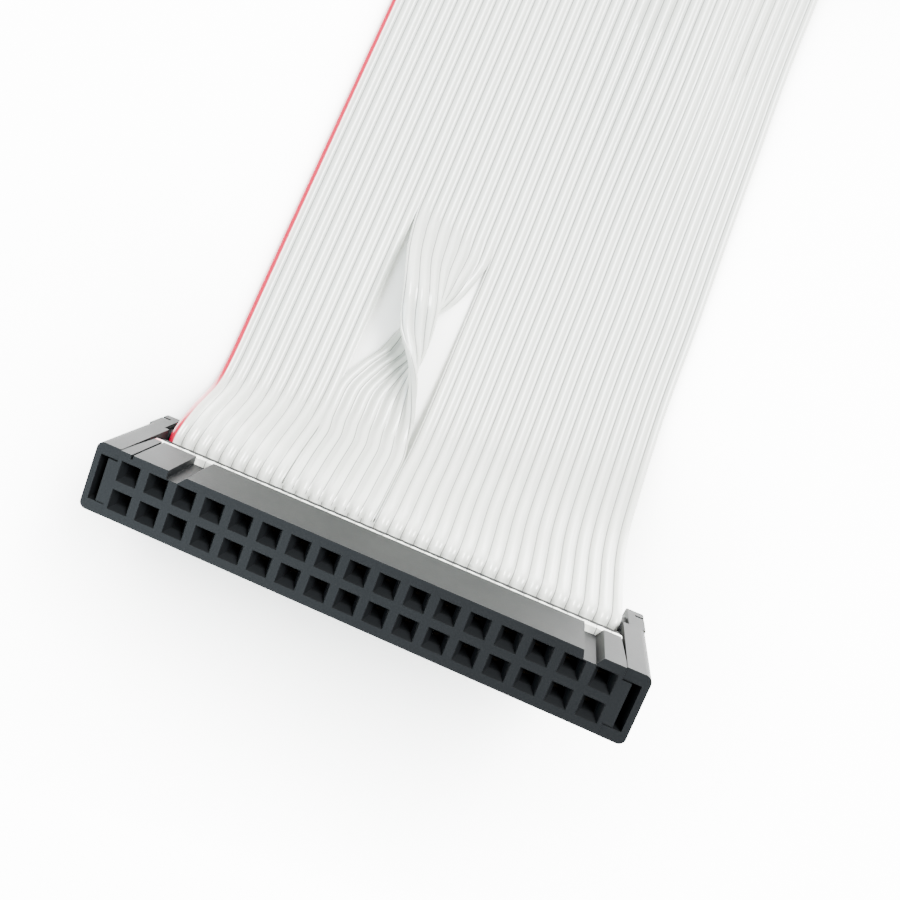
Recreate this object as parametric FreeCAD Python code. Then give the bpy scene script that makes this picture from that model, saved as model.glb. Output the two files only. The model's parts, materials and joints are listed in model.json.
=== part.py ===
"""A 34-way flat ribbon cable with an insulation-displacement socket at each end.

The near socket leans on its strain relief, with its mating face up. The ribbon comes out between
cover and strain relief, drops to the surface, has one group of wires given a half turn, and runs
along +Y. The rest of it lies folded once over itself and ends in the far socket.

Units are millimetres. A socket is built in its own frame: X along the row of contacts, wire 1 at -X,
Y across the socket, +Y the side where the ribbon comes out, and Z along the mating direction with the
mating face at Z = 0 and everything else below it. The socket is then placed in the frame of the part,
whose XY plane is the surface that the cable lies on.
"""
import FreeCAD, Part
import math
import os

os.makedirs("parts", exist_ok=True)
Vec = FreeCAD.Vector

# Contact grid and ribbon
PITCH = 2.54                      # contact pitch along and across the socket
COLUMNS = 17
WIRES = 2 * COLUMNS
WIRE_PITCH = PITCH / 2
RIBBON_THICK = 0.90
RIBBON_WIDTH = (WIRES - 1) * WIRE_PITCH + 0.95
HALF_RIBBON = RIBBON_WIDTH / 2
TWIST_AFTER = 9                   # wires 10 to 16 make the twisted group
TWIST_LAST = 16
SLIT = 0.12                       # gap that is left where the web between two wires is slit

# Socket body
BODY_HALF_X = 21.55
BODY_HALF_Y = 2.95
BODY_DEPTH = 6.30                 # mating face to the ribbon
PANEL_HALF_X = 22.35              # end panels, which the cover's latches clip over
PANEL_HALF_Y = 1.90
MOUTH = 1.78                      # square funnel mouth of a contact cavity
THROAT = 1.05
FUNNEL_DEPTH = 0.90
CAVITY_DEPTH = 4.90
FORK_SLOT_Y = 0.50
NOTCH_FLOOR_Y = 2.22              # floor of the two polarising notches in the +Y wall
LEFT_NOTCH = (-17.20, -15.55)
RIGHT_NOTCH = (18.15, 19.80)
LEFT_BEVEL = 0.65                 # bevel at the middle wall's left end
RIGHT_BEVEL = 0.22                # bevel at its right end, and at the block that faces it
BLOCK_BEVEL = 0.42
GROOVE = (-20.56, -20.38)         # moulded line beside the left polarising block
GROOVE_FLOOR_Y = 2.55
END_TAPER = 0.28

# Cover
COVER_HALF_X = 23.65
COVER_HALF_Y = 3.00
COVER_FACE = 0.08                 # the ends of the arms lie this far behind the mating face
COVER_FRONT = 7.25
COVER_BACK = 10.20
ARM_INNER_X = 21.57
ARM_WALL_X = 23.10
ARM_FLANGE_Y = 2.00
ARM_CORNER = 0.60
PLATE_PLUS_Y = 2.20
POCKET_DEPTH = 0.80
FOLD_Y = -0.90                    # centre of the ribbon's fold round the cover

# Strain relief
RELIEF_FRONT = 11.20
RELIEF_BACK = 14.10
EAR_FRONT = 10.25
EAR_BACK = 15.60
EAR_INNER_X = 22.10
EAR_OUTER_X = 23.55
EAR_PLUS_Y = 2.95
EAR_MINUS_Y = -3.00
EAR_ROUND = 1.30
BAR_PLUS_Y = 1.90
BAR_MINUS_Y = -2.60
BAR_ROUND = 1.00
SHOULDER_INNER_X = 21.60          # taller ends of the bar, beside the ribbon
SHOULDER_PLUS_Y = 2.45
WINDOW_AT = 13.30                 # small latch window in each ear
WINDOW_HIGH = 0.35
WINDOW_DEEP = 0.80

# Ribbon inside the socket
EXIT_Y = 2.30
CLAMP_Z = -(BODY_DEPTH + COVER_FRONT) / 2
UPPER_Z = -(COVER_BACK + RELIEF_FRONT - 0.05) / 2
FOLD_RADIUS = (CLAMP_Z - UPPER_Z) / 2

# Contacts
METAL = 0.30
BEAM_HALF_X = 0.35
BEAM_GAP = 0.44
BEAM_START = 2.40
BEAM_END = 4.10
TINE_TIP = 7.90
TINE_SLOT = 0.24
TINE_WIDE = 0.30

# How the near socket leans, and where it stands
LEAN = 21.2                       # degrees about X: mating face towards -Y
ROLL = 12.0                       # degrees about Y: +X end up
SOCKET_HIGH = 19.81               # mating-face centre above the surface
SHIFT_X = -1.45                   # puts the near socket's box over the origin
SHIFT_Y = -2.62

# The ribbon's way down from the near socket to the surface, as the paths of its two edges
RIBBON_X = 2.21                   # middle of the ribbon where it lies flat
FLAT_Z = RIBBON_THICK / 2
WIRE1_EDGE = [(4.50, 6.75), (6.40, 5.20), (8.10, 3.20), (9.90, 1.35), (12.70, 0.50)]
WIRE34_EDGE = [(4.50, 14.90), (6.80, 11.90), (9.40, 8.40), (12.50, 4.90), (17.80, 2.10)]
EDGE_SHARE = [0.10, 0.35, 0.60, 0.85, 1.00]   # sideways drift done at each of those stations
FLAT_FROM_Y = 25.0
REJOIN_Y = 35.7
BUNDLE = [(11.0, -3.4, 7.0, 1.1, 4.3), (14.5, -3.4, 6.0, 1.6, 2.7), (18.0, -3.8, 4.4, 2.4, 1.8),
          (21.5, -4.1, 3.2, 3.0, 1.6), (25.5, -4.1, 4.6, 2.4, 1.3), (30.0, -3.8, 7.6, 1.2, 0.7)]

# The put-away length: out along +Y, one fold, and back to the far socket, as (y, z) of its middle
SEAM_Y = 78.0
FAR_FACE_Y = 86.0                 # mating face of the far socket
FAR_HIGH = RIBBON_THICK + 3.42    # centre of the far socket, which lies on the ribbon
FAR_EXIT_Y = FAR_FACE_Y - UPPER_Z
FAR_EXIT_Z = FAR_HIGH + EXIT_Y
PUT_AWAY = [(SEAM_Y, FLAT_Z), (174.5, FLAT_Z), (174.5, 9.45), (153.0, 8.80), (139.0, 1.75),
            (123.0, 1.45), (109.5, 9.60), (99.2, 11.00), (FAR_EXIT_Y, 9.20), (FAR_EXIT_Y, FAR_EXIT_Z)]
FOLD_POINTS = 3                   # points of PUT_AWAY that belong to the outward stretch
ARC_SHARE = 0.45                  # share of the shorter run that each arc takes up


def box(x0, x1, y0, y1, z0, z1):
    return Part.makeBox(x1 - x0, y1 - y0, z1 - z0, Vec(x0, y0, z0))


def prism_x(points, x0, x1):
    """Solid with the closed YZ outline points, from x0 to x1. An entry of three numbers and a
    middle is an arc: (y, z, mid_y, mid_z) reaches (y, z) through the middle point."""
    edges = []
    here = Vec(x0, points[0][0], points[0][1])
    for entry in points[1:] + [points[0][:2]]:
        there = Vec(x0, entry[0], entry[1])
        if len(entry) == 4:
            edges.append(Part.Arc(here, Vec(x0, entry[2], entry[3]), there).toShape())
        elif (there - here).Length > 1e-6:
            edges.append(Part.LineSegment(here, there).toShape())
        here = there
    return Part.Face(Part.Wire(edges)).extrude(Vec(x1 - x0, 0, 0))


def prism_y(points, y0, y1):
    """Solid with the closed XZ outline points, from y0 to y1."""
    corners = [Vec(x, y0, z) for x, z in points]
    return Part.Face(Part.makePolygon(corners + corners[:1])).extrude(Vec(0, y1 - y0, 0))


def prism_z(points, z0, z1):
    """Solid with the closed XY outline points, from z0 to z1."""
    corners = [Vec(x, y, z0) for x, y in points]
    return Part.Face(Part.makePolygon(corners + corners[:1])).extrude(Vec(0, 0, z1 - z0))


def join(pieces):
    return pieces[0].multiFuse(pieces[1:]).removeSplitter()


def column_x(column):
    return (column - (COLUMNS + 1) / 2) * PITCH


def wire_x(wire):
    return (wire - (WIRES + 1) / 2) * WIRE_PITCH


def row_y(wire):
    return PITCH / 2 if wire % 2 else -PITCH / 2


# ---- socket ----

def square(x, y, z, side):
    h = side / 2
    corners = [Vec(x - h, y - h, z), Vec(x + h, y - h, z), Vec(x + h, y + h, z), Vec(x - h, y + h, z)]
    return Part.makePolygon(corners + corners[:1])


def cavity(wire):
    """Funnel, square bore for the contact and slot for its fork, as one cutter."""
    x = column_x((wire + 1) // 2)
    y = row_y(wire)
    fork = wire_x(wire)
    mouth = square(x, y, 0.0, MOUTH)
    throat = square(x, y, -FUNNEL_DEPTH, THROAT)
    funnel = Part.makeLoft([mouth, throat], True, True)
    h = THROAT / 2
    bore = box(x - h, x + h, y - h, y + h, -CAVITY_DEPTH, -FUNNEL_DEPTH)
    left = min(x, fork) - h
    right = max(x, fork) + h
    slot = box(left, right, y - FORK_SLOT_Y / 2, y + FORK_SLOT_Y / 2, -BODY_DEPTH, -CAVITY_DEPTH + 0.8)
    return funnel.multiFuse([bore, slot])


def socket_body():
    body = join([box(-BODY_HALF_X, BODY_HALF_X, -BODY_HALF_Y, BODY_HALF_Y, -BODY_DEPTH, 0),
                 box(-PANEL_HALF_X, PANEL_HALF_X, -PANEL_HALF_Y, PANEL_HALF_Y, -BODY_DEPTH, 0)])
    top = BODY_HALF_Y + 1
    steep = (top - NOTCH_FLOOR_Y) / (BODY_HALF_Y - NOTCH_FLOOR_Y)
    left, mid = LEFT_NOTCH
    far, right = RIGHT_NOTCH
    cuts = [prism_z([(left, NOTCH_FLOOR_Y), (mid - LEFT_BEVEL, NOTCH_FLOOR_Y),
                     (mid - LEFT_BEVEL + LEFT_BEVEL * steep, top), (left, top)], -BODY_DEPTH, 0),
            prism_z([(far + RIGHT_BEVEL, NOTCH_FLOOR_Y), (right - BLOCK_BEVEL, NOTCH_FLOOR_Y),
                     (right - BLOCK_BEVEL + BLOCK_BEVEL * steep, top),
                     (far + RIGHT_BEVEL - RIGHT_BEVEL * steep, top)], -BODY_DEPTH, 0),
            box(GROOVE[0], GROOVE[1], GROOVE_FLOOR_Y, top, -BODY_DEPTH, 0)]
    for side in (-1, 1):
        wedge = [(side * BODY_HALF_X, -1.0), (side * (BODY_HALF_X - END_TAPER), -BODY_DEPTH),
                 (side * (BODY_HALF_X + 0.1), -BODY_DEPTH), (side * (BODY_HALF_X + 0.1), -1.0)]
        cuts.append(prism_y(wedge, PANEL_HALF_Y, top))
        cuts.append(prism_y(wedge, -top, -PANEL_HALF_Y))
    cuts += [cavity(wire) for wire in range(1, WIRES + 1)]
    return body.cut(Part.makeCompound(cuts))


def contact(wire):
    """Two spring beams, a base, a foot stepped over to the wire, and a fork with two tines."""
    x = column_x((wire + 1) // 2)
    y = row_y(wire)
    fork = wire_x(wire)
    half = METAL / 2
    outer = BEAM_GAP / 2 + 0.18
    foot_top = BEAM_END + 0.5
    foot_low = BODY_DEPTH - 0.7
    tine_out = TINE_SLOT / 2 + TINE_WIDE
    pieces = [box(x - BEAM_HALF_X, x + BEAM_HALF_X, y + BEAM_GAP / 2, y + outer, -foot_top, -BEAM_START),
              box(x - BEAM_HALF_X, x + BEAM_HALF_X, y - outer, y - BEAM_GAP / 2, -foot_top, -BEAM_START),
              box(x - BEAM_HALF_X, x + BEAM_HALF_X, y - outer, y + outer, -foot_top, -BEAM_END),
              box(min(x - BEAM_HALF_X, fork - tine_out), max(x + BEAM_HALF_X, fork + tine_out),
                  y - half, y + half, -foot_low, -foot_top + 0.1)]
    for side in (-1, 1):
        inner = fork + side * TINE_SLOT / 2
        outside = fork + side * tine_out
        tine = [(inner, -foot_low + 0.1), (outside, -foot_low + 0.1), (outside, -TINE_TIP + 0.45),
                (inner + side * 0.12, -TINE_TIP), (inner, -TINE_TIP + 0.20)]
        pieces.append(prism_y(tine, y - half, y + half))
    return join(pieces)


def cover():
    """Plate behind the ribbon, rounded where the ribbon folds round it, with a C-shaped arm at each
    end that comes down to the mating face."""
    middle = (COVER_FRONT + COVER_BACK) / 2
    radius = (COVER_BACK - COVER_FRONT) / 2
    soft = 0.7
    arc = soft * (1 - math.sqrt(0.5))
    plate = prism_x([(FOLD_Y, -COVER_FRONT), (PLATE_PLUS_Y - 0.2, -COVER_FRONT),
                     (PLATE_PLUS_Y, -COVER_FRONT - 0.2), (PLATE_PLUS_Y, -COVER_BACK + soft),
                     (PLATE_PLUS_Y - soft, -COVER_BACK, PLATE_PLUS_Y - arc, -COVER_BACK + arc),
                     (FOLD_Y, -COVER_BACK),
                     (FOLD_Y, -COVER_FRONT, FOLD_Y - radius, -middle)],
                    -ARM_INNER_X - 0.1, ARM_INNER_X + 0.1)
    pieces = [plate]
    for side in (-1, 1):
        near = min(side * ARM_INNER_X, side * COVER_HALF_X)
        end = box(near, near + COVER_HALF_X - ARM_INNER_X, -COVER_HALF_Y, COVER_HALF_Y,
                  -COVER_BACK, -COVER_FACE)
        corners = [e for e in end.Edges if abs(e.Vertexes[0].Z - e.Vertexes[-1].Z) > 1
                   and abs(e.Vertexes[0].X) > COVER_HALF_X - 0.01]
        end = end.makeFillet(ARM_CORNER, corners)
        pocket = min(side * (ARM_INNER_X - 0.2), side * ARM_WALL_X)
        wide = ARM_WALL_X - ARM_INNER_X + 0.2
        pieces.append(end.cut(box(pocket, pocket + wide, -ARM_FLANGE_Y, ARM_FLANGE_Y, -COVER_FRONT, 0)))
    shape = join(pieces)
    pockets = []
    for wire in range(1, WIRES + 1):
        x = wire_x(wire)
        y = row_y(wire)
        pockets.append(box(x - 0.5, x + 0.5, y - 0.25, y + 0.25, -COVER_FRONT - POCKET_DEPTH, -COVER_FRONT))
    return shape.cut(Part.makeCompound(pockets))


def bar(plus_y, x0, x1):
    """Rounded bar of the strain relief, as high as plus_y, from x0 to x1."""
    arc = BAR_ROUND * (1 - math.sqrt(0.5))
    return prism_x([(BAR_MINUS_Y, -RELIEF_FRONT), (plus_y - BAR_ROUND, -RELIEF_FRONT),
                    (plus_y, -RELIEF_FRONT - BAR_ROUND, plus_y - arc, -RELIEF_FRONT - arc),
                    (plus_y, -RELIEF_BACK + BAR_ROUND),
                    (plus_y - BAR_ROUND, -RELIEF_BACK, plus_y - arc, -RELIEF_BACK + arc),
                    (BAR_MINUS_Y + BAR_ROUND, -RELIEF_BACK),
                    (BAR_MINUS_Y, -RELIEF_BACK + BAR_ROUND, BAR_MINUS_Y + arc, -RELIEF_BACK + arc)],
                   x0, x1)


def strain_relief():
    """Bar that presses the folded ribbon on the cover, with an ear at each end."""
    pieces = [bar(BAR_PLUS_Y, -EAR_INNER_X - 0.1, EAR_INNER_X + 0.1)]
    for side in (-1, 1):
        near = min(side * SHOULDER_INNER_X, side * (EAR_INNER_X + 0.1))
        pieces.append(bar(SHOULDER_PLUS_Y, near, near + EAR_INNER_X + 0.1 - SHOULDER_INNER_X))
    for side in (-1, 1):
        near = min(side * EAR_INNER_X, side * EAR_OUTER_X)
        ear = box(near, near + EAR_OUTER_X - EAR_INNER_X, EAR_MINUS_Y, EAR_PLUS_Y, -EAR_BACK, -EAR_FRONT)
        back = [e for e in ear.Edges if max(v.Z for v in e.Vertexes) < -EAR_BACK + 0.01
                and abs(e.Vertexes[0].X - e.Vertexes[-1].X) > 0.5]
        ear = ear.makeFillet(EAR_ROUND, back)
        window = min(side * (EAR_OUTER_X - WINDOW_DEEP), side * (EAR_OUTER_X + 0.1))
        ear = ear.cut(box(window, window + WINDOW_DEEP + 0.1, EAR_PLUS_Y - 0.9, EAR_PLUS_Y + 0.1,
                          -WINDOW_AT - WINDOW_HIGH / 2, -WINDOW_AT + WINDOW_HIGH / 2))
        pieces.append(ear)
    return join(pieces)


def clamped_ribbon():
    """Ribbon from its cut end at +Y, through the clamp, round the cover and out to the exit."""
    half = RIBBON_THICK / 2
    inner = FOLD_RADIUS - half
    outer = FOLD_RADIUS + half
    middle = (CLAMP_Z + UPPER_Z) / 2
    strip = prism_x([(BODY_HALF_Y, CLAMP_Z + half), (BODY_HALF_Y, CLAMP_Z - half),
                     (FOLD_Y, CLAMP_Z - half),
                     (FOLD_Y, UPPER_Z + half, FOLD_Y - inner, middle),
                     (EXIT_Y, UPPER_Z + half), (EXIT_Y, UPPER_Z - half),
                     (FOLD_Y, UPPER_Z - half),
                     (FOLD_Y, CLAMP_Z + half, FOLD_Y - outer, middle)],
                    -HALF_RIBBON, HALF_RIBBON)
    slots = []
    for wire in range(1, WIRES + 1):
        x = wire_x(wire)
        y = row_y(wire)
        slots.append(box(x - 0.45, x + 0.45, y - 0.2, y + 0.2, CLAMP_Z - half - 0.2, CLAMP_Z + half))
    return strip.cut(Part.makeCompound(slots))


# ---- placing ----

def near_place():
    turn = FreeCAD.Rotation(Vec(0, 1, 0), -ROLL).multiply(FreeCAD.Rotation(Vec(1, 0, 0), LEAN))
    return FreeCAD.Placement(Vec(SHIFT_X, SHIFT_Y, SOCKET_HIGH), turn)


def far_place():
    return FreeCAD.Placement(Vec(RIBBON_X, FAR_FACE_Y, FAR_HIGH), FreeCAD.Rotation(Vec(1, 0, 0), 90))


def placed(shape, place):
    copy = shape.copy()
    copy.Placement = place.multiply(copy.Placement)
    return copy


# ---- free ribbon ----

def across(left, right, share):
    return left + (right - left) * share


def ribbon_sections():
    """Each station of the drop as (left edge, right edge, unit normal), from the exit to the flat."""
    place = near_place()
    left = place.multVec(Vec(-HALF_RIBBON, EXIT_Y, UPPER_Z))
    right = place.multVec(Vec(HALF_RIBBON, EXIT_Y, UPPER_Z))
    normal = place.Rotation.multVec(Vec(0, 0, 1))
    flat_left = RIBBON_X - HALF_RIBBON
    flat_right = RIBBON_X + HALF_RIBBON
    lefts = [left]
    rights = [right]
    for (ly, lz), (ry, rz), share in zip(WIRE1_EDGE, WIRE34_EDGE, EDGE_SHARE):
        lefts.append(Vec(across(left.x, flat_left, share), ly, lz))
        rights.append(Vec(across(right.x, flat_right, share), ry, rz))
    for y in (FLAT_FROM_Y, REJOIN_Y):
        lefts.append(Vec(flat_left, y, FLAT_Z))
        rights.append(Vec(flat_right, y, FLAT_Z))
    sections = [(left, right, normal)]
    for i in range(1, len(lefts)):
        ahead = min(i + 1, len(lefts) - 1)
        run = (lefts[ahead] + rights[ahead]) - (lefts[i - 1] + rights[i - 1])
        up = (rights[i] - lefts[i]).cross(run)
        sections.append((lefts[i], rights[i], up.normalize() if ahead > i else Vec(0, 0, 1)))
    return sections


def quad(left, right, half_up):
    corners = [left - half_up, right - half_up, right + half_up, left + half_up]
    return Part.makePolygon(corners + corners[:1])


def ribbon_group(first, last):
    """Wires first to last between the near socket and the place where the slits end."""
    low = (first - 1) * WIRE_PITCH + (SLIT / 2 if first > 1 else 0)
    high = last * WIRE_PITCH - (SLIT / 2 if last < WIRES else WIRE_PITCH - 0.95)
    wires = []
    for left, right, normal in ribbon_sections():
        side = right - left
        wires.append(quad(left + side * (low / RIBBON_WIDTH), left + side * (high / RIBBON_WIDTH),
                          normal * (RIBBON_THICK / 2)))
    return Part.makeLoft(wires, True, True)


def twisted_group():
    """Outer shape of wires 10 to 16, which draw together where they turn over."""
    low = TWIST_AFTER * WIRE_PITCH + SLIT / 2
    high = TWIST_LAST * WIRE_PITCH - SLIT / 2
    sections = ribbon_sections()
    wires = []
    for left, right, normal in [sections[0], sections[1], sections[2]]:
        side = right - left
        wires.append(quad(left + side * (low / RIBBON_WIDTH), left + side * (high / RIBBON_WIDTH),
                          normal * (RIBBON_THICK / 2)))
    for y, x, wide, thick, z in BUNDLE:
        wires.append(quad(Vec(x - wide / 2, y, z), Vec(x + wide / 2, y, z), Vec(0, 0, thick / 2)))
    edge = RIBBON_X - HALF_RIBBON
    wires.append(quad(Vec(edge + low, REJOIN_Y, FLAT_Z), Vec(edge + high, REJOIN_Y, FLAT_Z),
                      Vec(0, 0, RIBBON_THICK / 2)))
    return Part.makeLoft(wires, True, True)


def rounded(points):
    """The route's arcs, one for each inner point, as (start, middle, end, centre, radius)."""
    arcs = []
    for before, at, after in zip(points, points[1:], points[2:]):
        back = Vec(before[0] - at[0], before[1] - at[1], 0)
        ahead = Vec(after[0] - at[0], after[1] - at[1], 0)
        half_turn = (math.pi - back.getAngle(ahead)) / 2
        reach = ARC_SHARE * min(back.Length, ahead.Length)
        radius = reach / math.tan(half_turn)
        corner = Vec(at[0], at[1], 0)
        back.normalize()
        ahead.normalize()
        inward = (back + ahead).normalize()
        centre = corner + inward * (radius / math.cos(half_turn))
        arcs.append((corner + back * reach, centre - inward * radius, corner + ahead * reach, centre, radius))
    return arcs


def strip_outline(start, start_dir, arcs, end, end_dir, half):
    """Closed YZ outline of a strip of thickness 2 * half along runs and arcs, for prism_x."""
    def beside(point, direction, side):
        return (point.x - side * half * direction.y, point.y + side * half * direction.x)
    there = [beside(start, start_dir, 1)]
    back = [beside(end, end_dir, -1)]
    for first, middle, last, centre, radius in arcs:
        left_turn = (last - first).cross(centre - first).z > 0
        for side, way in ((1, (first, middle, last)), (-1, (last, middle, first))):
            scale = 1 - side * half / radius if left_turn else 1 + side * half / radius
            points = [centre + (p - centre) * scale for p in way]
            entry = [(points[0].x, points[0].y), (points[2].x, points[2].y, points[1].x, points[1].y)]
            if side == 1:
                there += entry
            else:
                back[1:1] = entry
    there.append(beside(end, end_dir, 1))
    back.append(beside(start, start_dir, -1))
    return there + back


def put_away(first, last):
    """Strip of the put-away ribbon between two points of its route. A stretch starts and ends in the
    middle of a run, or at the route's own end."""
    points = PUT_AWAY
    arcs = rounded(points)
    flat = [Vec(y, z, 0) for y, z in points]
    start = flat[0] if first == 0 else (flat[first] + flat[first + 1]) * 0.5
    end = flat[-1] if last == len(points) - 1 else (flat[last] + flat[last + 1]) * 0.5
    inside = arcs[first:last]
    start_dir = (flat[first + 1] - flat[first]).normalize()
    end_run = last if last < len(points) - 1 else last - 1
    end_dir = (flat[end_run + 1] - flat[end_run]).normalize()
    if last == len(points) - 1:
        inside = arcs[first:]
    outline = strip_outline(start, start_dir, inside, end, end_dir, RIBBON_THICK / 2)
    return prism_x(outline, RIBBON_X - HALF_RIBBON, RIBBON_X + HALF_RIBBON)


def ribbon_run():
    return box(RIBBON_X - HALF_RIBBON, RIBBON_X + HALF_RIBBON, REJOIN_Y, SEAM_Y, 0, RIBBON_THICK)


def build():
    nodes = {}
    rows = {"odd": [], "even": []}
    for wire in range(1, WIRES + 1):
        rows["odd" if wire % 2 else "even"].append(contact(wire))
        nodes["contact_%02d" % wire] = placed(contact(wire), near_place())
    moulded = {"socket_body": socket_body(), "cover": cover(), "strain_relief": strain_relief(),
               "ribbon_clamped": clamped_ribbon()}
    for name, shape in moulded.items():
        nodes[name] = placed(shape, near_place())
        nodes["far_" + name] = placed(shape, far_place())
    for row, shapes in rows.items():
        nodes["far_contacts_" + row] = placed(Part.makeCompound(shapes), far_place())
    nodes["ribbon_left_group"] = ribbon_group(1, TWIST_AFTER)
    nodes["ribbon_twisted_group"] = twisted_group()
    nodes["ribbon_right_group"] = ribbon_group(TWIST_LAST + 1, WIRES)
    nodes["ribbon_run"] = ribbon_run()
    nodes["ribbon_outward"] = put_away(0, FOLD_POINTS)
    nodes["ribbon_return"] = put_away(FOLD_POINTS, len(PUT_AWAY) - 1)
    return nodes


if __name__ == "__main__":
    own = None
    for name, shape in build().items():
        if not shape.isValid() or any(not solid.isClosed() for solid in shape.Solids):
            raise SystemExit(name + " is not a closed solid")
        shape.exportStep("parts/" + name + ".step")
        low = shape.BoundBox
        print("%-22s solids %2d volume %9.2f  x %7.2f..%7.2f y %7.2f..%7.2f z %7.2f..%7.2f" % (
            name, len(shape.Solids), shape.Volume, low.XMin, low.XMax, low.YMin, low.YMax,
            low.ZMin, low.ZMax))
        if not name.startswith(("far_", "ribbon_left", "ribbon_right", "ribbon_twisted", "ribbon_run",
                                "ribbon_outward", "ribbon_return")):
            own = low if own is None else own.united(low)
    print("near socket: centre %.2f %.2f, lowest %.2f" % (own.Center.x, own.Center.y, own.ZMin))
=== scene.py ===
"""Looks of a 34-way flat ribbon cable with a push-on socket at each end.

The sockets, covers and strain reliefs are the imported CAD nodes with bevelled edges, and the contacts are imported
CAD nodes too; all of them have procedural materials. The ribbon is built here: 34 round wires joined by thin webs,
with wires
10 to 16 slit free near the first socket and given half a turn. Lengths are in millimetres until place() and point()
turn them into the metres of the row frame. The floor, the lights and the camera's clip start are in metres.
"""
import json
import math
import bpy
from mathutils import Matrix, Vector
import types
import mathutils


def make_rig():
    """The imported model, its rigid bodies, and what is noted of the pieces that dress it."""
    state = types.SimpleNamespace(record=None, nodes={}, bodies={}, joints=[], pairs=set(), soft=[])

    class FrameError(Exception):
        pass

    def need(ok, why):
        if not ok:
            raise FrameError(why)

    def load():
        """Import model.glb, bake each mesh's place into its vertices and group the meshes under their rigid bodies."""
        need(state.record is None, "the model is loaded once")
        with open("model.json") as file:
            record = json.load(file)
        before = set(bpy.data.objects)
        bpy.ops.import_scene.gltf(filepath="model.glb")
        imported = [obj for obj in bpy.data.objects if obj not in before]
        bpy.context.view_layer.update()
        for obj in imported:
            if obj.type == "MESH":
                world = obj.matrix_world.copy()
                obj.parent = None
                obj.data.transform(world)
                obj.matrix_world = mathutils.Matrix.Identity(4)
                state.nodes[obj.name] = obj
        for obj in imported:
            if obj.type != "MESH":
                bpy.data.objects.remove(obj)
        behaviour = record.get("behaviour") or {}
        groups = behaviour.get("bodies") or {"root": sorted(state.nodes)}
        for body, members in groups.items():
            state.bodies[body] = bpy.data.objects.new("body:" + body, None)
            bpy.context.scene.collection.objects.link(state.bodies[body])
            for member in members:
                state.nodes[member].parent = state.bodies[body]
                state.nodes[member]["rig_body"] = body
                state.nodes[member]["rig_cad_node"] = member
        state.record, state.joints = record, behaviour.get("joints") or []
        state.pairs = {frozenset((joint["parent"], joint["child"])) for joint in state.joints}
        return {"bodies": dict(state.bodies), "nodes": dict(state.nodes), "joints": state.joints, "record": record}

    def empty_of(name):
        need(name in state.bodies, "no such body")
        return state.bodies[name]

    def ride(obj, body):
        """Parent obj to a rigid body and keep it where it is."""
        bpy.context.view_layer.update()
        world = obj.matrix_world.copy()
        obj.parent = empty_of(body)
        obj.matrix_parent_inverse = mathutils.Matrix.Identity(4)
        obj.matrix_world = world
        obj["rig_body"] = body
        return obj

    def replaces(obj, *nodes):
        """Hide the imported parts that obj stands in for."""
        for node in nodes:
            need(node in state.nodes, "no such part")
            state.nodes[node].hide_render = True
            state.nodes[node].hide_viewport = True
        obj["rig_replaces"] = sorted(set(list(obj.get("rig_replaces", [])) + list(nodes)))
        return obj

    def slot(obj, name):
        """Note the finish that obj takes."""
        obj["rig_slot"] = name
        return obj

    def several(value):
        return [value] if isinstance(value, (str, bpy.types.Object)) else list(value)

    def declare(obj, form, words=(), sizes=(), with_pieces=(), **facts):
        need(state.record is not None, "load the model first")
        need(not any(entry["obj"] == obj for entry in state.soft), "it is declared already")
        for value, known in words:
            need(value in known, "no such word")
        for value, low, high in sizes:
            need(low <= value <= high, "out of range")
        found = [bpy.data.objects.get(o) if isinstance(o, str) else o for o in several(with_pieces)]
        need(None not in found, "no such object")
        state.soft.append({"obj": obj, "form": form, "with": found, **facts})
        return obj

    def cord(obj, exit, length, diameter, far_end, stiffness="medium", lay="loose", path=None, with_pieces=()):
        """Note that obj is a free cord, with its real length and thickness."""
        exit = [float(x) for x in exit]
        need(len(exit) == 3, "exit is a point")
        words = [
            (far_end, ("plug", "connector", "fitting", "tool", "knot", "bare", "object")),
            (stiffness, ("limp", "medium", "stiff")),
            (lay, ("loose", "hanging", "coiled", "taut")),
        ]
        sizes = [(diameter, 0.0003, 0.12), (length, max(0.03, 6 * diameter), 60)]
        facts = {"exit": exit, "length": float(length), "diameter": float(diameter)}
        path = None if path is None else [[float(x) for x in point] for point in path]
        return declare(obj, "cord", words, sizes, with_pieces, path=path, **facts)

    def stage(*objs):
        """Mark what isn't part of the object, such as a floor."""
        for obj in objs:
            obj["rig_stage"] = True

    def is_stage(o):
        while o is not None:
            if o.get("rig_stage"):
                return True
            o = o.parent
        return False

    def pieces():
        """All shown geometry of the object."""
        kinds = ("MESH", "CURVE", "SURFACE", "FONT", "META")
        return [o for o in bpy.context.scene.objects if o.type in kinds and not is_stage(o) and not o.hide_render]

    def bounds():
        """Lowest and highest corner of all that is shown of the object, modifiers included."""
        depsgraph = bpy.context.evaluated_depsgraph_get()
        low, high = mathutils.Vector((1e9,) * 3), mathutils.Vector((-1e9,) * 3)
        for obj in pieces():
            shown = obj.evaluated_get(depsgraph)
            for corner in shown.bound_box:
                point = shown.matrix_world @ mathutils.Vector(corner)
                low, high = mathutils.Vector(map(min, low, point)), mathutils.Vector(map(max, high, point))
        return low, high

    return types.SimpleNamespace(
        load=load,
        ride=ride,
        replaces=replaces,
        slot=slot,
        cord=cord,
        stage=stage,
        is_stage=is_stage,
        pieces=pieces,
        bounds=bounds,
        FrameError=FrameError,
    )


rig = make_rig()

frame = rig.load()
cad_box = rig.bounds()
MM = 0.001

# ---- the ribbon's sizes ----

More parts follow.
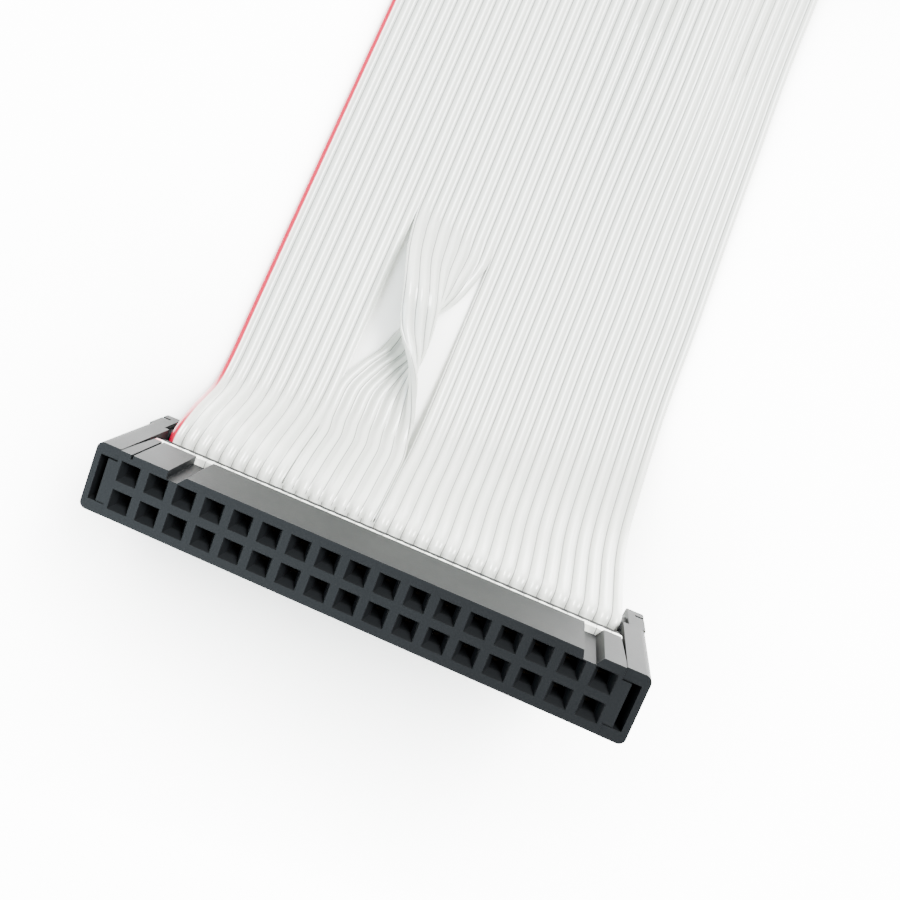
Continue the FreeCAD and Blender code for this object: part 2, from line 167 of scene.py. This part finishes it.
WIRES = 34
WIRE_PITCH = 1.27
WIRE_HALF_WIDE = 0.475
WIRE_HALF_HIGH = 0.45
WEB_HALF_HIGH = 0.22
HALF_RIBBON = (WIRES - 1) * WIRE_PITCH / 2 + WIRE_HALF_WIDE
LEFT_GROUP = (1, 9)
TWISTED_GROUP = (10, 16)
RIGHT_GROUP = (17, 34)
SLIT_HALF = 0.07
SLIT_CLOSES_OVER = 4.0        # the slits narrow to nothing over this length
LOBE = [math.radians(a) for a in (158, 135, 112, 90, 68, 45, 22)]     # points on a wire's upper half
WELD_UNDER = 0.004            # points closer than this become one
CREASE_ANGLE = 50             # degrees: edges sharper than this are not smoothed

# ---- the ribbon inside a socket, in the socket's own frame ----

CUT_END_Y = 2.80
STRAIGHT_Y = 1.0              # a row of points part of the way along each straight stretch
CLAMP_Z = -6.775
UPPER_Z = -10.675
FOLD_Y = -0.90
EXIT_Y = 2.30
FOLD_STEPS = 12
PRESSED_HALF_HIGH = 0.37      # the webs where the clamp squeezes the insulation
PRESSED_ROWS = 2              # rows from the cut end to STRAIGHT_Y, which are under the clamp
CLAMPED_V = -20.0             # where the socket's stretch starts along the UV map

# ---- the free ribbon's route, as the paths of its two edges ----

RIBBON_X = 2.21
FLAT_LEFT = RIBBON_X - HALF_RIBBON
FLAT_RIGHT = RIBBON_X + HALF_RIBBON
FLAT_Z = WIRE_HALF_HIGH
LEFT_DROP = [(-20.48, 3.85, 6.61), (-20.30, 5.00, 6.45), (-20.05, 6.60, 5.30), (-19.70, 8.20, 3.20),
             (-19.30, 10.00, 1.20), (-19.15, 12.70, 0.45), (-19.18, 17.80, 0.45), (-19.22, 26.00, 0.45)]
RIGHT_DROP = [(21.45, 3.85, 15.52), (21.60, 5.10, 14.00), (21.95, 6.90, 11.50), (22.45, 9.30, 8.20),
              (23.05, 12.50, 5.00), (23.42, 17.00, 2.90), (23.62, 22.00, 1.35), (23.64, 28.00, 0.45)]
REJOIN_Y = 35.7
# y, and how far the right edge is drawn in there
FLAT_RUN = [(REJOIN_Y, 0.0), (46.0, 0.35), (56.0, 0.55), (66.0, 0.85), (78.0, 0.60)]
PUT_AWAY = [(165.5, 0.45), (174.5, 0.45), (174.5, 9.45), (165.5, 9.18), (153.0, 8.80), (139.0, 1.75),
            (123.0, 1.45), (109.5, 9.60), (99.2, 11.00), (96.675, 9.20), (96.675, 6.62)]
WAVE_HIGH = 2.6
WAVE_V = (38.0, 66.0, 78.0, 86.0)     # along the ribbon: start, top, end of the top, end
WAVE_SHARE = 0.74             # across the ribbon: where the wave is highest, as a share of its width
WAVE_REACH = 0.16
FREE_LENGTH = 0.264
SPLINE_STEPS = 7              # points of the smooth route for each control point

# ---- the edges of the CAD pieces ----

BEVEL_WIDE = 0.05
BEVEL_STEPS = 2
BEVEL_ANGLE = 35              # degrees: corners sharper than this are bevelled

# ---- camera, floor and light ----

CAMERA_AT = (-11.73, -2.475, 103.08)
CAMERA_FORWARD = (0.0538, 0.1511, -0.9871)
CAMERA_UP = (-0.4064, 0.9062, 0.1165)
CAMERA_SENSOR = 36.0
CAMERA_LENS = 42.0
CAMERA_SHIFT = (0.1117, -0.0443)
CAMERA_CLIP_START = 0.005
FLOOR_HALF = 1.5
FLOOR_GLOW = 10.0             # the floor gives off light of its own, which makes it nearly white
FLOOR_SHADE_REACH = 0.03      # how near the object has to be to shade that glow
FLOOR_SHADE_POWER = 3.0
WORLD_STRENGTH = 0.3
WHITE = (1, 1, 1)
LIGHTS = [("strip", (0.16, 0.22, 0.62), (0.20, 0.55), 21, WHITE),     # name, place, size, watts, colour
          ("back", (0.05, 0.70, 0.26), (1.0, 0.45), 6, WHITE),
          ("window", (-0.44, -0.57, 0.54), (0.35, 0.35), 9, (0.76, 0.91, 1.0))]


def point(x, y, z):
    return Vector((x, y, z)) * MM


def socket_place(mount, along_x):
    """Turns a point of a socket's own frame, in mm, into the row frame, in metres."""
    told = next(m for m in frame["record"]["mounts"] if m["name"] == mount)
    up = Vector(told["axis"]).normalized()
    along = along_x.normalized()
    across = up.cross(along)
    origin = Vector(told["pos_m"])

    def place(x, y, z):
        return origin + (along * x + across * y + up * z) * MM
    return place


# the near socket's row of contacts runs square to Y
near_up = Vector(next(m for m in frame["record"]["mounts"] if m["name"] == "mating_face")["axis"])
near = socket_place("mating_face", Vector((near_up.z, 0, -near_up.x)))
far = socket_place("far_mating_face", Vector((1, 0, 0)))


# ---- camera ----

def aim(obj, at, forward, up):
    back = -Vector(forward).normalized()
    right = Vector(up).cross(back).normalized()
    turn = Matrix((right, back.cross(right), back)).transposed()
    obj.matrix_world = Matrix.Translation(at) @ turn.to_4x4()


def add_camera():
    data = bpy.data.cameras.new("camera")
    data.sensor_width = CAMERA_SENSOR
    data.lens = CAMERA_LENS
    data.shift_x, data.shift_y = CAMERA_SHIFT
    data.clip_start = CAMERA_CLIP_START
    camera = bpy.data.objects.new("camera", data)
    bpy.context.scene.collection.objects.link(camera)
    aim(camera, point(*CAMERA_AT), CAMERA_FORWARD, CAMERA_UP)
    bpy.context.scene.camera = camera


# ---- ribbon ----

def spline_points(points):
    """Points along the smooth route that has those control points."""
    curve = bpy.data.curves.new("route", "CURVE")
    curve.dimensions = "3D"
    line = curve.splines.new("NURBS")
    line.points.add(len(points) - 1)
    for control, p in zip(line.points, points):
        control.co = (p[0], p[1], p[2], 1)
    line.order_u = 3
    line.use_endpoint_u = True
    line.resolution_u = SPLINE_STEPS
    holder = bpy.data.objects.new("route", curve)
    mesh = bpy.data.meshes.new_from_object(holder)
    found = [v.co.copy() for v in mesh.vertices]
    bpy.data.objects.remove(holder)
    bpy.data.curves.remove(curve)
    bpy.data.meshes.remove(mesh)
    return found


def edge_route(side, drop):
    flat_x = FLAT_LEFT if side < 0 else FLAT_RIGHT
    route = [near(side * HALF_RIBBON, EXIT_Y, UPPER_Z)]
    route += [point(*p) for p in drop]
    route += [point(flat_x - (drawn_in if side > 0 else 0.0), y, FLAT_Z) for y, drawn_in in FLAT_RUN]
    route += [point(flat_x, y, z) for y, z in PUT_AWAY]
    return route


def smooth(value, low, high):
    share = min(1.0, max(0.0, (value - low) / (high - low)))
    return share * share * (3 - 2 * share)


def bump(value, middle, reach):
    return math.exp(-((value - middle) / reach) ** 2)


class Station:
    """A place along the free ribbon: both edges, the way across, and the way up from the surface."""

    def __init__(self, left, right, along, v):
        self.left = left
        self.right = right
        self.across = (right - left).normalized()
        self.up = self.across.cross(along).normalized()
        self.v = v
        self.y = (left.y + right.y) / 2 / MM

    def at(self, u, high):
        """Point u mm from the left edge and high mm off the middle surface."""
        share = u / (2 * HALF_RIBBON)
        return self.left.lerp(self.right, share) + self.up * ((high + lift(self, share)) * MM)


def lift(station, share):
    """Gentle wave near the right edge, where the ribbon rises off the surface."""
    rise = smooth(station.v, WAVE_V[0], WAVE_V[1]) * (1 - smooth(station.v, WAVE_V[2], WAVE_V[3]))
    return WAVE_HIGH * rise * bump(share, WAVE_SHARE, WAVE_REACH)


def stations():
    lefts = spline_points(edge_route(-1, LEFT_DROP))
    rights = spline_points(edge_route(1, RIGHT_DROP))
    middles = [(a + b) / 2 for a, b in zip(lefts, rights)]
    found = []
    v = 0.0
    for i, (left, right) in enumerate(zip(lefts, rights)):
        before = middles[max(i - 1, 0)]
        after = middles[min(i + 1, len(middles) - 1)]
        along = after - before if i else near(0, 1, 0) - near(0, 0, 0)
        v += (middles[i] - before).length / MM
        found.append(Station(left, right, along, v))
    return found, middles


def wire_u(wire):
    return WIRE_HALF_WIDE + (wire - 1) * WIRE_PITCH


def upper_side(first, last, slit, web=WEB_HALF_HIGH):
    """Upper half of the section of wires first to last, as (u, height), left to right."""
    side = []
    if first > 1:
        side.append((wire_u(first) - WIRE_PITCH / 2 + slit, web))
    else:
        side.append((0.0, 0.0))
    for wire in range(first, last + 1):
        u = wire_u(wire)
        side += [(u + WIRE_HALF_WIDE * math.cos(a), max(web, WIRE_HALF_HIGH * math.sin(a))) for a in LOBE]
        if wire < last:
            side.append((u + WIRE_PITCH / 2, web))
    if last < WIRES:
        side.append((wire_u(last) + WIRE_PITCH / 2 - slit, web))
    else:
        side.append((2 * HALF_RIBBON, 0.0))
    return side


class Shell:
    """Collects the strips of a ribbon mesh, with their place across and along it as UVs."""

    def __init__(self):
        self.points = []
        self.uvs = []
        self.faces = []

    def add(self, rows, first_cap, last_cap):
        """rows holds one (upper, lower, us, v) for each station: points along both sides."""
        base = len(self.points)
        count = len(rows[0][0])
        ring = 2 * count
        for upper, lower, us, v in rows:
            self.points += upper + lower
            self.uvs += [(u, v) for u in us] * 2
        for i in range(len(rows) - 1):
            a = base + i * ring
            b = a + ring
            for j in range(count - 1):
                self.faces.append((a + j, a + j + 1, b + j + 1, b + j))
                self.faces.append((a + count + j + 1, a + count + j, b + count + j, b + count + j + 1))
            self.faces.append((a + count, a, b, b + count))
            self.faces.append((a + count - 1, a + ring - 1, b + ring - 1, b + count - 1))
        for row, wanted in ((0, first_cap), (len(rows) - 1, last_cap)):
            if wanted:
                a = base + row * ring
                for j in range(count - 1):
                    cap = (a + j + 1, a + j, a + count + j, a + count + j + 1)
                    self.faces.append(cap if row == 0 else cap[::-1])

    def build(self, name, material):
        mesh = bpy.data.meshes.new(name)
        mesh.from_pydata(self.points, [], self.faces)
        layer = mesh.uv_layers.new(name="across_along")
        for loop in mesh.loops:
            layer.data[loop.index].uv = self.uvs[loop.vertex_index]
        obj = bpy.data.objects.new(name, mesh)
        bpy.context.scene.collection.objects.link(obj)
        weld = obj.modifiers.new("weld", "WELD")
        weld.merge_threshold = WELD_UNDER * MM
        evaluated = obj.evaluated_get(bpy.context.evaluated_depsgraph_get())
        joined = bpy.data.meshes.new_from_object(evaluated)
        obj.modifiers.clear()
        obj.data = joined
        joined.shade_smooth()
        joined.set_sharp_from_angle(angle=math.radians(CREASE_ANGLE))
        joined.materials.append(material)
        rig.ride(obj, "root")
        return obj


def plain_rows(places, first, last, slit_of):
    rows = []
    for s in places:
        side = upper_side(first, last, slit_of(s))
        us = [u for u, high in side]
        rows.append(([s.at(u, high) for u, high in side], [s.at(u, -high) for u, high in side], us, s.v))
    return rows


def slit_gap(station):
    return SLIT_HALF * (1 - smooth(station.y, REJOIN_Y - SLIT_CLOSES_OVER, REJOIN_Y))


# ---- the twisted group ----

# Which way the section of the twisted group runs, in degrees below level, at its left edge, at one and
# two thirds, and at its right edge, for each y. It makes half a turn in all, and curls over in the middle.
TURN = [(9.5, (180, 180, 180, 180)), (12.0, (160, 176, 180, 180)), (13.9, (132, 168, 180, 180)),
        (16.3, (92, 150, 178, 180)), (18.9, (48, 105, 168, 178)), (21.3, (10, 58, 146, 168)),
        (23.8, (-4, 38, 120, 128)), (26.6, (0, 34, 74, 62)), (30.2, (12, 24, 32, 30)), (33.6, (3, 5, 5, 4)),
        (REJOIN_Y, (0, 0, 0, 0))]
# Where wire 10's outer edge lies, as (y, x). The section hangs from that edge along most of the twist, and
# is centred on the group's own place in the ribbon before HUNG_FROM and from REJOIN_Y on.
FIRST_EDGE_X = [(9.5, 0.30), (12.0, 0.30), (13.9, 0.0), (16.1, -0.9), (17.9, -2.0), (19.9, -3.6),
                (21.8, -5.0), (24.3, -6.1), (27.8, -7.1), (30.6, -7.65), (REJOIN_Y, -7.95)]
HUNG_FROM = (9.5, 12.5)       # y where it starts to hang from the edge, and where it does so fully
HUNG_UNTIL = 32.0             # y where it starts to go back
SECTION_STEPS = 60


def between(pairs, value):
    """Smooth reading of the (place, value) pairs at a place."""
    if value <= pairs[0][0]:
        return pairs[0][1]
    for i in range(len(pairs) - 1):
        if value <= pairs[i + 1][0]:
            before = pairs[max(i - 1, 0)]
            a, b = pairs[i], pairs[i + 1]
            after = pairs[min(i + 2, len(pairs) - 1)]
            t = (value - a[0]) / (b[0] - a[0])
            slope_a = (b[1] - before[1]) / (b[0] - before[0]) * (b[0] - a[0])
            slope_b = (after[1] - a[1]) / (after[0] - a[0]) * (b[0] - a[0])
            return ((2 * t**3 - 3 * t**2 + 1) * a[1] + (t**3 - 2 * t**2 + t) * slope_a
                    + (3 * t**2 - 2 * t**3) * b[1] + (t**3 - t**2) * slope_b)
    return pairs[-1][1]


def turn_at(y, share):
    """Way of the group's section, in radians, a share of the way across it."""
    across = [between([(at, ways[k]) for at, ways in TURN], y) for k in range(4)]
    return math.radians(between([(k / 3, way) for k, way in enumerate(across)], share))


def curled_section(y, wide):
    """Middle line of the group's section, as points (p, q, way)."""
    step = wide / SECTION_STEPS
    line = []
    p = q = 0.0
    for k in range(SECTION_STEPS + 1):
        line.append((p, q, turn_at(y, k / SECTION_STEPS)))
        way = turn_at(y, (k + 0.5) / SECTION_STEPS)
        p += math.cos(way) * step
        q -= math.sin(way) * step
    return line


def twisted_rows(places):
    first, last = TWISTED_GROUP
    group_left = wire_u(first) - WIRE_PITCH / 2
    group_wide = (last - first + 1) * WIRE_PITCH
    rows = []
    for s in places:
        side = upper_side(first, last, slit_gap(s))
        line = curled_section(s.y, group_wide)
        low = min(q for p, q, way in line)
        middle = (min(line)[0] + max(line)[0]) / 2
        origin = s.left.lerp(s.right, (group_left + group_wide / 2) / (2 * HALF_RIBBON))
        hung = smooth(s.y, *HUNG_FROM) * (1 - smooth(s.y, HUNG_UNTIL, REJOIN_Y))
        origin = origin + s.across * ((between(FIRST_EDGE_X, s.y) * MM - origin.x) * hung)
        middle *= 1 - hung
        upper, lower = [], []
        for u, high in side:
            at = (u - group_left) / group_wide * SECTION_STEPS
            k = min(SECTION_STEPS - 1, max(0, int(at)))
            p, q, way = (a + (b - a) * (at - k) for a, b in zip(line[k], line[k + 1]))
            for points, off in ((upper, high), (lower, -high)):
                points.append(origin + s.across * ((p - middle + math.sin(way) * off) * MM)
                              + s.up * ((q - low + math.cos(way) * off) * MM))
        rows.append((upper, lower, [u for u, high in side], s.v))
    return rows


def free_ribbon(material):
    places, middles = stations()
    seam = next(i for i, s in enumerate(places) if s.y >= REJOIN_Y)     # where the slits end
    slit_part = places[:seam + 1]
    whole_part = places[seam:]

    def gap(station):
        return 0.0 if station is places[seam] else slit_gap(station)

    shell = Shell()
    shell.add(plain_rows(slit_part, *LEFT_GROUP, gap), True, False)
    shell.add(plain_rows(slit_part, *RIGHT_GROUP, gap), True, False)
    shell.add(twisted_rows(slit_part), True, False)
    shell.add(plain_rows(whole_part, 1, WIRES, gap), False, True)
    ribbon = shell.build("ribbon", material)
    return ribbon, middles


def socket_ribbon(name, place, material):
    """Ribbon from its cut end, through the clamp, round the cover's edge and out to the exit."""
    radius = (CLAMP_Z - UPPER_Z) / 2
    middle = (CLAMP_Z + UPPER_Z) / 2
    line = [(CUT_END_Y, CLAMP_Z, 0, 1), (STRAIGHT_Y, CLAMP_Z, 0, 1)]
    for k in range(FOLD_STEPS + 1):
        a = math.pi * k / FOLD_STEPS
        line.append((FOLD_Y - radius * math.sin(a), middle + radius * math.cos(a), -math.sin(a), math.cos(a)))
    line += [(STRAIGHT_Y, UPPER_Z, 0, -1), (EXIT_Y, UPPER_Z, 0, -1)]
    rows = []
    for i, (y, z, out_y, out_z) in enumerate(line):
        side = upper_side(1, WIRES, 0.0, PRESSED_HALF_HIGH if i < PRESSED_ROWS else WEB_HALF_HIGH)
        upper = [place(u - HALF_RIBBON, y + out_y * high, z + out_z * high) for u, high in side]
        lower = [place(u - HALF_RIBBON, y - out_y * high, z - out_z * high) for u, high in side]
        rows.append((upper, lower, [u for u, high in side], CLAMPED_V + i))
    shell = Shell()
    shell.add(rows, True, True)
    return shell.build(name, material)


# ---- materials ----

def new_material(name):
    material = bpy.data.materials.new(name)
    material.use_nodes = True
    nodes = material.node_tree.nodes
    return material, nodes, material.node_tree.links, nodes["Principled BSDF"]


def noise(nodes, links, coord, scale, detail):
    node = nodes.new("ShaderNodeTexNoise")
    node.inputs["Scale"].default_value = scale
    node.inputs["Detail"].default_value = detail
    links.new(coord, node.inputs["Vector"])
    return node


def tone(nodes, links, value, dark, pale):
    """Colour between dark and pale, as value goes from 0 to 1."""
    node = nodes.new("ShaderNodeValToRGB")
    node.color_ramp.elements[0].color = (*dark, 1)
    node.color_ramp.elements[1].color = (*pale, 1)
    links.new(value, node.inputs["Fac"])
    return node.outputs["Color"]


def worked_out(nodes, links, operation, value, by=None):
    node = nodes.new("ShaderNodeMath")
    node.operation = operation
    links.new(value, node.inputs[0])
    if by is not None:
        node.inputs[1].default_value = by
    return node.outputs["Value"]


def grey(brightness):
    return (brightness, brightness, brightness, 1)


def moulding_material():
    material, nodes, links, shader = new_material("moulding")
    coord = nodes.new("ShaderNodeTexCoord").outputs["Object"]
    fine = noise(nodes, links, coord, 6000, 3)
    broad = noise(nodes, links, coord, 140, 4)
    colour = tone(nodes, links, broad.outputs["Fac"], (0.0035, 0.0040, 0.0045), (0.0060, 0.0070, 0.0078))
    links.new(colour, shader.inputs["Base Color"])
    rough = nodes.new("ShaderNodeMapRange")
    rough.inputs["To Min"].default_value = 0.44
    rough.inputs["To Max"].default_value = 0.56
    links.new(broad.outputs["Fac"], rough.inputs["Value"])
    links.new(rough.outputs["Result"], shader.inputs["Roughness"])
    bump_node = nodes.new("ShaderNodeBump")
    bump_node.inputs["Strength"].default_value = 0.25
    bump_node.inputs["Distance"].default_value = 0.00002
    links.new(fine.outputs["Fac"], bump_node.inputs["Height"])
    links.new(bump_node.outputs["Normal"], shader.inputs["Normal"])
    shader.inputs["Specular IOR Level"].default_value = 0.14
    return material


# Painted shade across one wire and its web: the insulation's colour is at full tone over the wire's top and darker
# towards the web's hollow, which is at 0.87. The ramp keeps its own two ends as well, black at 0 and white at 1, so
# each grey wire has a thin painted dark line at its left edge.
PAINTED_VALLEY_SHADE = [(0.10, 0.92), (0.30, 1.0), (0.46, 1.0), (0.70, 0.84), (0.87, 0.76), (0.98, 0.82)]
STRIPE_RED = (0.45, 0.0, 0.03, 1)
STRIPE_SHARE = [(0.50, 1.0), (0.60, 0.12), (0.95, 0.0)]     # how red, by mm from the left edge
# sockets of a Mix node that mixes colours
MIX_FACTOR, MIX_A, MIX_B, MIX_RESULT = 0, 6, 7, 2


def ribbon_material():
    material, nodes, links, shader = new_material("ribbon_pvc")
    uv = nodes.new("ShaderNodeUVMap")
    uv.uv_map = "across_along"
    split = nodes.new("ShaderNodeSeparateXYZ")
    links.new(uv.outputs["UV"], split.inputs["Vector"])
    coord = nodes.new("ShaderNodeTexCoord").outputs["Object"]
    broad = noise(nodes, links, coord, 60, 3)
    grey_pvc = tone(nodes, links, broad.outputs["Fac"], (0.75, 0.775, 0.715), (0.81, 0.83, 0.775))
    stripe = nodes.new("ShaderNodeValToRGB")
    red, fading, clear = STRIPE_SHARE
    for element, (at, share) in zip(stripe.color_ramp.elements, (red, clear)):
        element.position = at
        element.color = grey(share)
    stripe.color_ramp.elements.new(fading[0]).color = grey(fading[1])
    links.new(split.outputs["X"], stripe.inputs["Fac"])
    pitches = worked_out(nodes, links, "DIVIDE", split.outputs["X"], WIRE_PITCH)
    across = worked_out(nodes, links, "FRACT", pitches)
    # Painted shade: this ramp darkens the insulation towards each web's hollow, all along the ribbon.
    valley_shade = nodes.new("ShaderNodeValToRGB")
    valley_shade.color_ramp.interpolation = "EASE"
    for at, brightness in PAINTED_VALLEY_SHADE:
        valley_shade.color_ramp.elements.new(at).color = grey(brightness)
    links.new(across, valley_shade.inputs["Fac"])
    shaded = nodes.new("ShaderNodeMix")
    shaded.data_type = "RGBA"
    shaded.blend_type = "MULTIPLY"
    shaded.inputs[MIX_FACTOR].default_value = 1.0
    links.new(grey_pvc, shaded.inputs[MIX_A])
    links.new(valley_shade.outputs["Color"], shaded.inputs[MIX_B])
    mix = nodes.new("ShaderNodeMix")
    mix.data_type = "RGBA"
    mix.inputs[MIX_B].default_value = STRIPE_RED
    links.new(stripe.outputs["Color"], mix.inputs[MIX_FACTOR])
    links.new(shaded.outputs[MIX_RESULT], mix.inputs[MIX_A])
    links.new(mix.outputs[MIX_RESULT], shader.inputs["Base Color"])
    shader.inputs["Roughness"].default_value = 0.30
    shader.inputs["Specular IOR Level"].default_value = 0.9
    shader.inputs["Coat Weight"].default_value = 0.35
    shader.inputs["Coat Roughness"].default_value = 0.25
    shader.inputs["Subsurface Weight"].default_value = 0.10
    shader.inputs["Subsurface Radius"].default_value = (1.0, 0.9, 0.8)
    shader.inputs["Subsurface Scale"].default_value = 0.0006
    shader.inputs["IOR"].default_value = 1.53
    return material


def contact_material_in_painted_shade():
    """Metal coloured nearly black as painted shade: the contacts are seen only at the bottom of their openings."""
    material, nodes, links, shader = new_material("contact_metal")
    coord = nodes.new("ShaderNodeTexCoord").outputs["Object"]
    broad = noise(nodes, links, coord, 900, 3)
    # Painted shade: these near black tones stand for the shade at the bottom of the openings, not the metal's own
    # colour.
    colour = tone(nodes, links, broad.outputs["Fac"], (0.014, 0.011, 0.006), (0.028, 0.020, 0.010))
    links.new(colour, shader.inputs["Base Color"])
    shader.inputs["Metallic"].default_value = 1.0
    shader.inputs["Roughness"].default_value = 0.5
    return material


def dress_cad(moulding, metal):
    for name, obj in frame["nodes"].items():
        if "contact" in name:
            obj.data.materials.clear()
            obj.data.materials.append(metal)
        elif name.endswith(("socket_body", "cover", "strain_relief")):
            obj.data.materials.clear()
            obj.data.materials.append(moulding)
            bevel = obj.modifiers.new("bevel", "BEVEL")
            bevel.width = BEVEL_WIDE * MM
            bevel.segments = BEVEL_STEPS
            bevel.limit_method = "ANGLE"
            bevel.angle_limit = math.radians(BEVEL_ANGLE)
            bevel.harden_normals = False


# ---- floor and light ----

def floor():
    """Pale floor that glows, less so close to the object, where the dimmed glow is painted shade."""
    mesh = bpy.data.meshes.new("floor")
    corners = [(x * FLOOR_HALF, y * FLOOR_HALF, 0) for x, y in ((-1, -1), (1, -1), (1, 1), (-1, 1))]
    mesh.from_pydata(corners, [], [(0, 1, 2, 3)])
    obj = bpy.data.objects.new("floor", mesh)
    bpy.context.scene.collection.objects.link(obj)
    material, nodes, links, shader = new_material("floor")
    shader.inputs["Base Color"].default_value = (0.86, 0.87, 0.84, 1)
    shader.inputs["Emission Color"].default_value = (1, 1, 1, 1)
    # Painted shadow: ambient occlusion dims the floor's glow near the object.
    shade = nodes.new("ShaderNodeAmbientOcclusion")
    shade.inputs["Distance"].default_value = FLOOR_SHADE_REACH
    shade.samples = 8
    open_share = worked_out(nodes, links, "POWER", shade.outputs["AO"], FLOOR_SHADE_POWER)
    level = worked_out(nodes, links, "MULTIPLY", open_share, FLOOR_GLOW)
    links.new(level, shader.inputs["Emission Strength"])
    shader.inputs["Roughness"].default_value = 0.9
    mesh.materials.append(material)
    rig.stage(obj)


def area_light(name, at, size, power, colour):
    data = bpy.data.lights.new(name, "AREA")
    data.shape = "RECTANGLE"
    data.size = size[0]
    data.size_y = size[1]
    data.energy = power
    data.color = colour
    obj = bpy.data.objects.new(name, data)
    bpy.context.scene.collection.objects.link(obj)
    at = Vector(at)
    up = Vector((0, 1, 0)) if abs(at.normalized().y) < 0.9 else Vector((0, 0, 1))
    aim(obj, at, -at, up)


def light():
    world = bpy.data.worlds.new("world")
    bpy.context.scene.world = world
    world.use_nodes = True
    world.node_tree.nodes["Background"].inputs["Color"].default_value = (1, 1, 1, 1)
    world.node_tree.nodes["Background"].inputs["Strength"].default_value = WORLD_STRENGTH
    for told in LIGHTS:
        area_light(*told)


add_camera()
moulding = moulding_material()
pvc = ribbon_material()
ribbon, middle_line = free_ribbon(pvc)
near_ribbon = socket_ribbon("ribbon_in_socket", near, pvc)
far_ribbon = socket_ribbon("far_ribbon_in_socket", far, pvc)
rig.slot(ribbon, "ribbon_insulation")
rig.slot(near_ribbon, "ribbon_insulation")
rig.slot(far_ribbon, "ribbon_insulation")
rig.replaces(ribbon, "ribbon_left_group", "ribbon_twisted_group", "ribbon_right_group", "ribbon_run",
            "ribbon_outward", "ribbon_return")
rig.replaces(near_ribbon, "ribbon_clamped")
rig.replaces(far_ribbon, "far_ribbon_clamped")
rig.cord(ribbon, exit=near(0, EXIT_Y, UPPER_Z), length=FREE_LENGTH, diameter=2 * HALF_RIBBON * MM,
        far_end="connector", stiffness="medium", lay="loose", path=middle_line,
        with_pieces=[far_ribbon, "far_socket_body", "far_cover", "far_strain_relief", "far_contacts_odd",
                     "far_contacts_even"])
dress_cad(moulding, contact_material_in_painted_shade())
floor()
light()

with open("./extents.json", "w") as out:
    json.dump({"cad": [list(corner) for corner in cad_box],
               "visual": [list(corner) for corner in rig.bounds()]}, out)
